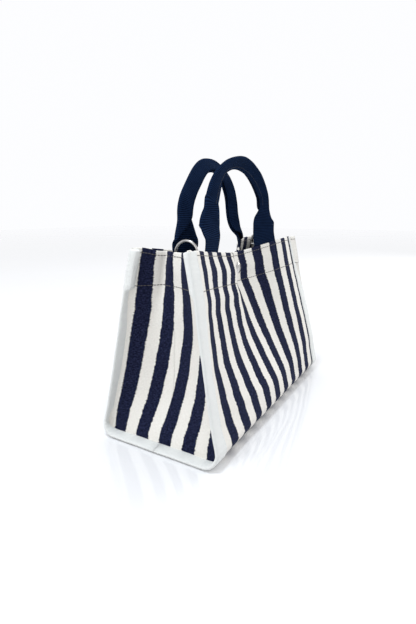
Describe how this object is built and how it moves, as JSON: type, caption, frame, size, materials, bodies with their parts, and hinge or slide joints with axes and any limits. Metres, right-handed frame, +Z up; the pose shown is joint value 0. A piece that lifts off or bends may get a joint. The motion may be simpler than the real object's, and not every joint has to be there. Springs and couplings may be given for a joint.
{
  "type": "tote bag",
  "caption": "Small structured striped canvas tote with bound gusset seams, webbing handles, press-stud closure and inner D-rings.",
  "frame": {"origin": "middle of the base, on the surface the bag stands on", "axes": "+X to the bag's right along its width, front towards -Y, +Z up"},
  "size_m": [0.32, 0.1412, 0.305],
  "materials": {
    "striped_canvas": "matte woven",
    "white_tape": "matte twill",
    "navy_webbing": "soft satin weave",
    "thread": "matte thread",
    "silver_metal": "polished nickel"
  },
  "bodies": {
    "bag_base": {"base_cloth": "striped_canvas", "left_base_binding": "white_tape", "left_gusset": "striped_canvas", "left_gusset_hem": "striped_canvas", "left_ring_tab": "white_tape", "right_base_binding": "white_tape", "right_gusset": "striped_canvas", "right_gusset_hem": "striped_canvas", "right_ring_tab": "white_tape"},
    "front_side": {"front_cloth": "striped_canvas", "front_handle_ends": "navy_webbing", "front_hem": "striped_canvas", "left_front_binding": "white_tape", "left_front_binding_wrap": "white_tape", "right_front_binding": "white_tape", "right_front_binding_wrap": "white_tape", "stud_cap": "silver_metal", "stud_socket": "silver_metal"},
    "back_side": {"back_cloth": "striped_canvas", "back_handle_ends": "navy_webbing", "back_hem": "striped_canvas", "left_back_binding": "white_tape", "left_back_binding_wrap": "white_tape", "right_back_binding": "white_tape", "right_back_binding_wrap": "white_tape", "stud_ball": "silver_metal", "stud_post": "silver_metal"},
    "front_handle": {"front_handle": "navy_webbing"},
    "back_handle": {"back_handle": "navy_webbing"},
    "left_ring": {"left_d_ring": "silver_metal"},
    "right_ring": {"right_d_ring": "silver_metal"}
  },
  "joints": [
    {"name": "front_side_open", "type": "hinge", "parent": "bag_base", "child": "front_side", "pos_m": [0, -0.0694, 0.0153], "axis": [1, 0, 0], "range_deg": [0, 10]},
    {"name": "back_side_open", "type": "hinge", "parent": "bag_base", "child": "back_side", "pos_m": [0, 0.0694, 0.0153], "axis": [-1, 0, 0], "range_deg": [0, 10]},
    {"name": "front_handle_fold", "type": "hinge", "parent": "front_side", "child": "front_handle", "pos_m": [-0.004, -0.018, 0.212], "axis": [1, 0, 0], "range_deg": [-5.5, 135]},
    {"name": "back_handle_fold", "type": "hinge", "parent": "back_side", "child": "back_handle", "pos_m": [-0.004, 0.018, 0.212], "axis": [-1, 0, 0], "range_deg": [-13.5, 130]},
    {"name": "left_ring_swing", "type": "hinge", "parent": "bag_base", "child": "left_ring", "pos_m": [-0.1065, -0.005, 0.1895], "axis": [0, 1, 0], "range_deg": [-3, 165]},
    {"name": "right_ring_swing", "type": "hinge", "parent": "bag_base", "child": "right_ring", "pos_m": [0.1065, 0.005, 0.1895], "axis": [0, -1, 0], "range_deg": [-3, 165]}
  ]
}
